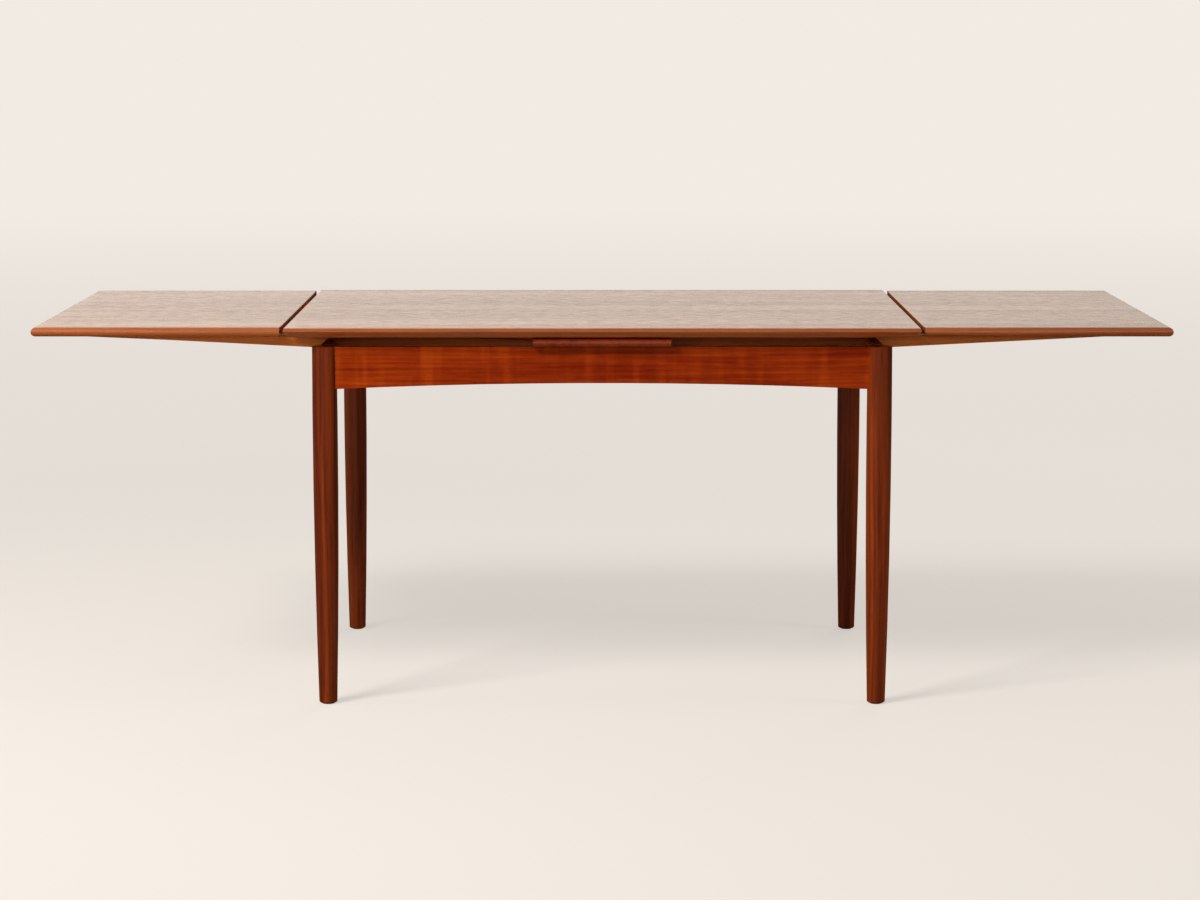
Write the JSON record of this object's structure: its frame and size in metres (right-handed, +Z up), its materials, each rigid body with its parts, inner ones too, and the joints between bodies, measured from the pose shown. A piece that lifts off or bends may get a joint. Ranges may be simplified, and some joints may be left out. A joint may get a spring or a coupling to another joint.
{
  "type": "draw leaf table",
  "caption": "Extending dining table: draw leaves on sloping runners slide out from under a loose main top, on a frame of arched aprons and turned legs.",
  "frame": {"origin": "on the floor at the centre of the table", "axes": "+X along the table to the right, +Y to the back, +Z up"},
  "size_m": [2.131, 0.8214, 0.72],
  "materials": {
    "teak_veneer": "satin oil",
    "teak": "satin oil",
    "beech": "plain",
    "stained_beech": "stained brown",
    "zinc_steel": "zinc plated",
    "felt": "matte",
    "glide_plastic": "matte"
  },
  "bodies": {
    "frame": {"back_apron": "teak", "bearer_board": "teak", "bearer_pads": "felt", "bearer_screws": "zinc_steel", "corner_block_back_left": "beech", "corner_block_back_right": "beech", "corner_block_front_left": "beech", "corner_block_front_right": "beech", "corner_block_screws": "zinc_steel", "front_apron": "teak", "left_cross_rail": "beech", "left_end_apron": "teak", "leg_back_left": "teak", "leg_back_right": "teak", "leg_front_left": "teak", "leg_front_right": "teak", "leg_glides": "glide_plastic", "right_cross_rail": "beech", "right_end_apron": "teak"},
    "top": {"top_back_lipping": "teak", "top_front_lipping": "teak", "top_left_lipping": "teak", "top_locating_pegs": "beech", "top_panel": "teak_veneer", "top_right_lipping": "teak"},
    "left_leaf": {"left_leaf_back_batten": "teak", "left_leaf_back_lipping": "teak", "left_leaf_back_runner": "stained_beech", "left_leaf_front_batten": "teak", "left_leaf_front_lipping": "teak", "left_leaf_front_runner": "stained_beech", "left_leaf_inner_lipping": "teak", "left_leaf_outer_lipping": "teak", "left_leaf_panel": "teak_veneer", "left_leaf_screws": "zinc_steel", "left_leaf_stop_blocks": "stained_beech"},
    "right_leaf": {"right_leaf_back_batten": "teak", "right_leaf_back_lipping": "teak", "right_leaf_back_runner": "stained_beech", "right_leaf_front_batten": "teak", "right_leaf_front_lipping": "teak", "right_leaf_front_runner": "stained_beech", "right_leaf_inner_lipping": "teak", "right_leaf_outer_lipping": "teak", "right_leaf_panel": "teak_veneer", "right_leaf_screws": "zinc_steel", "right_leaf_stop_blocks": "stained_beech"}
  },
  "joints": [
    {"name": "top_lift", "type": "slide", "parent": "frame", "child": "top", "axis": [0, 0, 1], "range_m": [0, 0.47292]},
    {"name": "left_leaf_slide", "type": "slide", "parent": "frame", "child": "left_leaf", "axis": [0.9991, 0, -0.0423], "range_m": [0, 0.47292]},
    {"name": "right_leaf_slide", "type": "slide", "parent": "frame", "child": "right_leaf", "axis": [-0.9991, 0, -0.0423], "range_m": [0, 0.47292]}
  ],
  "couplings": [
    {"joint": "left_leaf_slide", "follows": "top_lift", "ratio": 1},
    {"joint": "right_leaf_slide", "follows": "top_lift", "ratio": 1}
  ]
}
